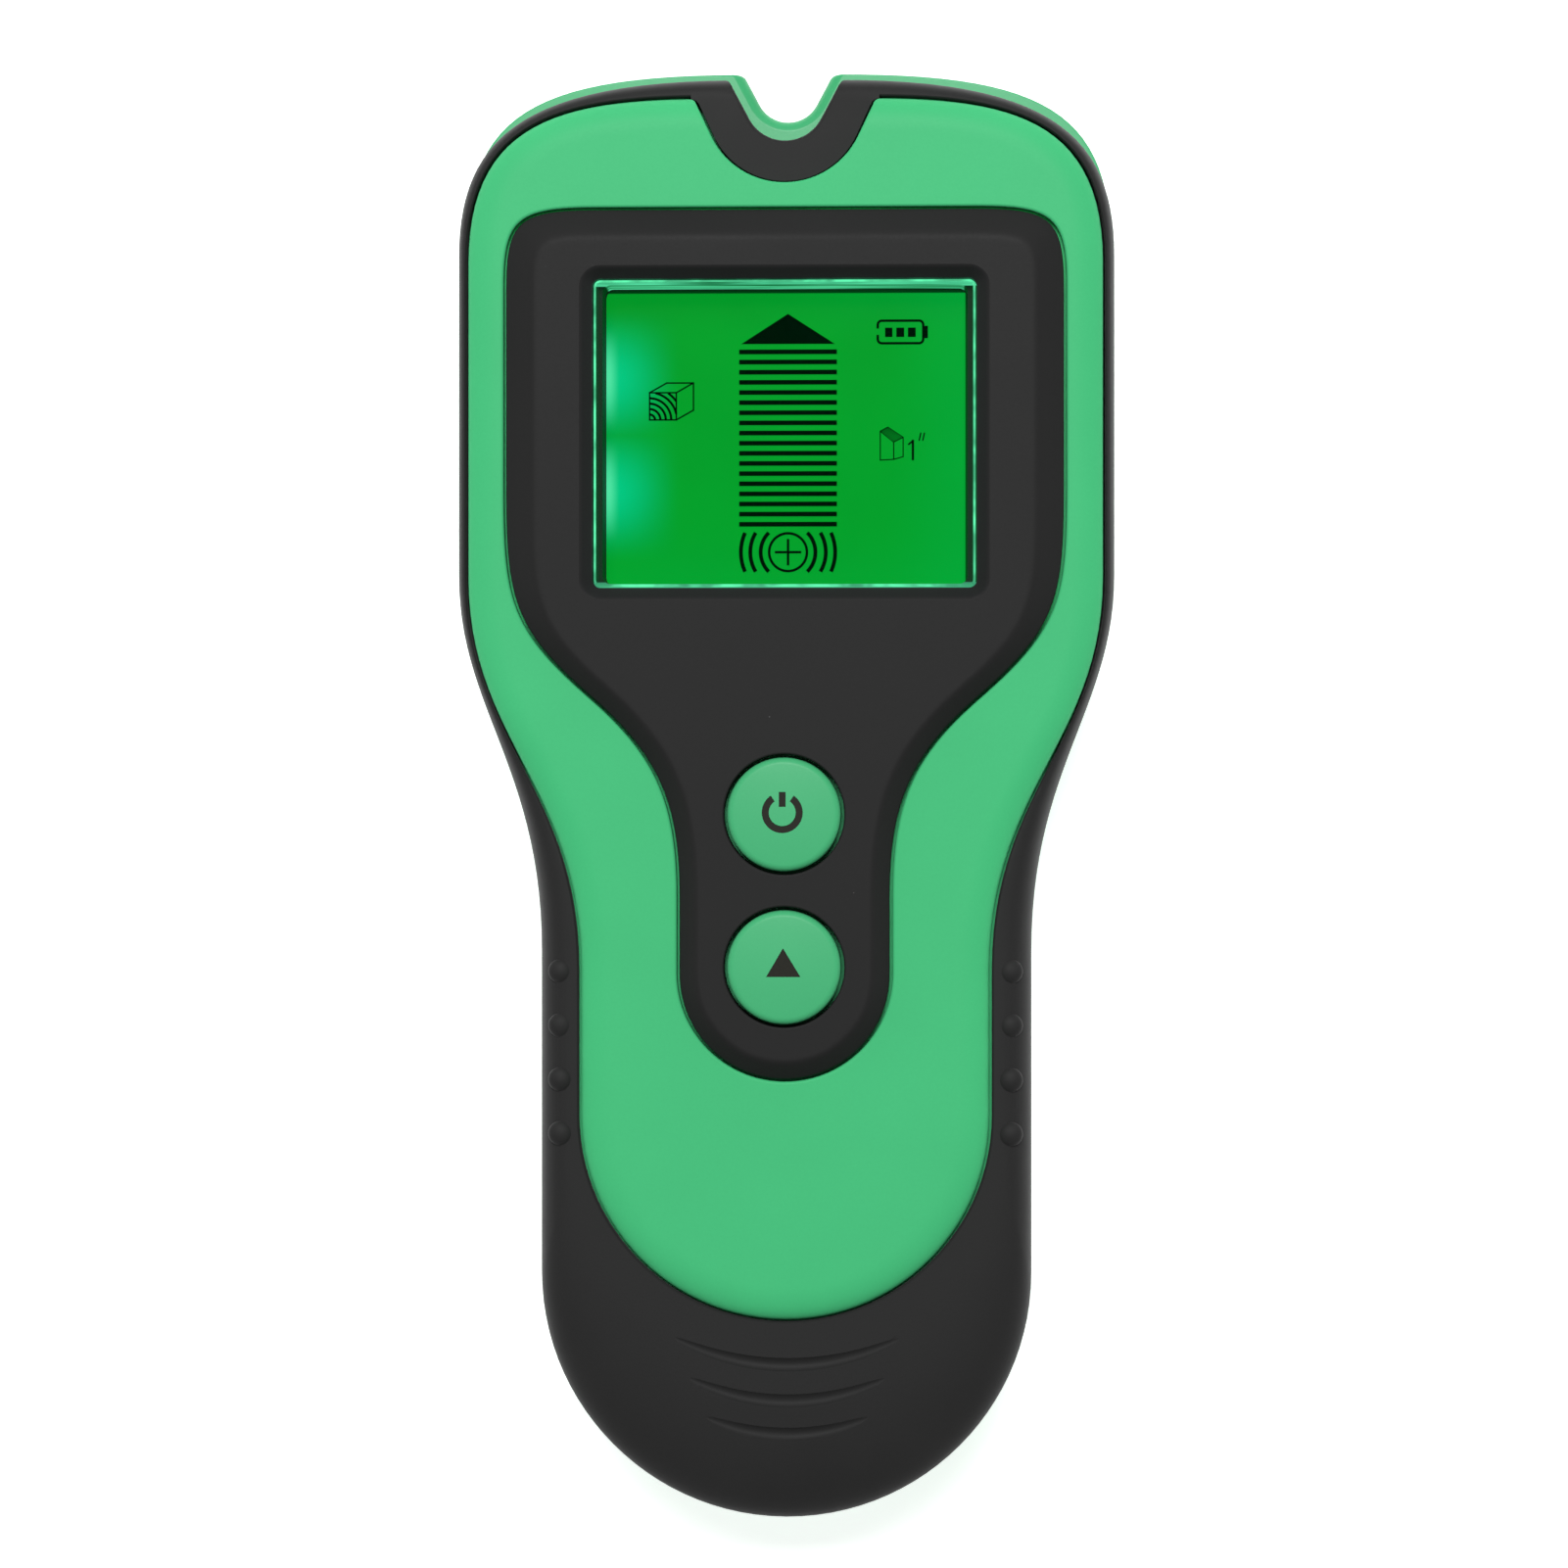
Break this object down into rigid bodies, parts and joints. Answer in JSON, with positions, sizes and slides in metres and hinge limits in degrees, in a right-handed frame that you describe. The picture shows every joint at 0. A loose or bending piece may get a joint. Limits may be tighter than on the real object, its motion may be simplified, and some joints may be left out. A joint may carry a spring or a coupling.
{
  "type": "stud finder",
  "caption": "Handheld wall scanner with a backlit display, push buttons, a marking notch, a soft grip jacket and a battery bay behind a lift-off door.",
  "frame": {"origin": "on the plane of the flat sensing back, under the middle of the bounding box", "axes": "+Y along the tool to the notch end, +Z out of the front face, +X to the right as the display is read"},
  "size_m": [0.0722, 0.16, 0.03],
  "materials": {
    "green_abs": "satin moulded ABS, fine spark texture",
    "black_rubber": "soft-touch overmoulded TPE",
    "black_abs": "matt moulded ABS",
    "clear_acrylic": "clear polished acrylic",
    "lcd_green": "green backlit liquid crystal display",
    "light_guide": "frosted light guide",
    "led_white": "small surface-mount lamp",
    "foam": "closed-cell foam and elastomer",
    "circuit_board": "solder-masked glass epoxy",
    "chip": "black epoxy package",
    "copper": "bare copper",
    "steel": "zinc-plated steel",
    "nylon": "natural nylon",
    "battery_wrap": "printed steel jacket, left plain",
    "red_pvc": "red wire insulation",
    "black_pvc": "black wire insulation",
    "label": "blank silver label"
  },
  "bodies": {
    "case": {"amplifier_chip": "chip", "backlight_led_lower": "led_white", "backlight_led_upper": "led_white", "battery_cell": "battery_wrap", "battery_snap": "black_abs", "battery_terminal_negative": "steel", "battery_terminal_positive": "steel", "board_screw_1": "steel", "board_screw_2": "steel", "board_screw_3": "steel", "board_screw_4": "steel", "buzzer": "black_abs", "case_screw_1": "steel", "case_screw_2": "steel", "case_screw_3": "steel", "case_screw_4": "steel", "center_bezel": "black_abs", "coil_former": "nylon", "controller_chip": "chip", "display_gasket": "foam", "display_lens": "clear_acrylic", "electrode_center": "copper", "electrode_left": "copper", "electrode_right": "copper", "front_housing": "green_abs", "grip_jacket": "black_rubber", "lcd_carrier": "black_abs", "lcd_connector": "foam", "lcd_glass": "lcd_green", "lead_black": "black_pvc", "lead_red": "red_pvc", "light_guide": "light_guide", "main_board": "circuit_board", "mode_switch": "black_abs", "power_switch": "black_abs", "rating_label": "label", "rear_housing": "green_abs", "search_coil": "copper", "sensing_board": "circuit_board", "sensor_header": "black_abs", "supply_capacitor": "steel"},
    "power_button": {"power_button": "green_abs", "power_switch_plunger": "nylon"},
    "mode_button": {"mode_button": "green_abs", "mode_switch_plunger": "nylon"},
    "battery_door": {"battery_door": "green_abs"}
  },
  "joints": [
    {"name": "power_press", "type": "slide", "parent": "case", "child": "power_button", "axis": [0, 0, -1], "range_m": [0, 0.0008], "stiffness_N_per_m": 1800, "springref_m": -0.0002},
    {"name": "mode_press", "type": "slide", "parent": "case", "child": "mode_button", "axis": [0, 0, -1], "range_m": [0, 0.0008], "stiffness_N_per_m": 1800, "springref_m": -0.0002},
    {"name": "door_lift", "type": "slide", "parent": "case", "child": "battery_door", "axis": [0, 0, -1], "range_m": [0, 0.02]}
  ]
}
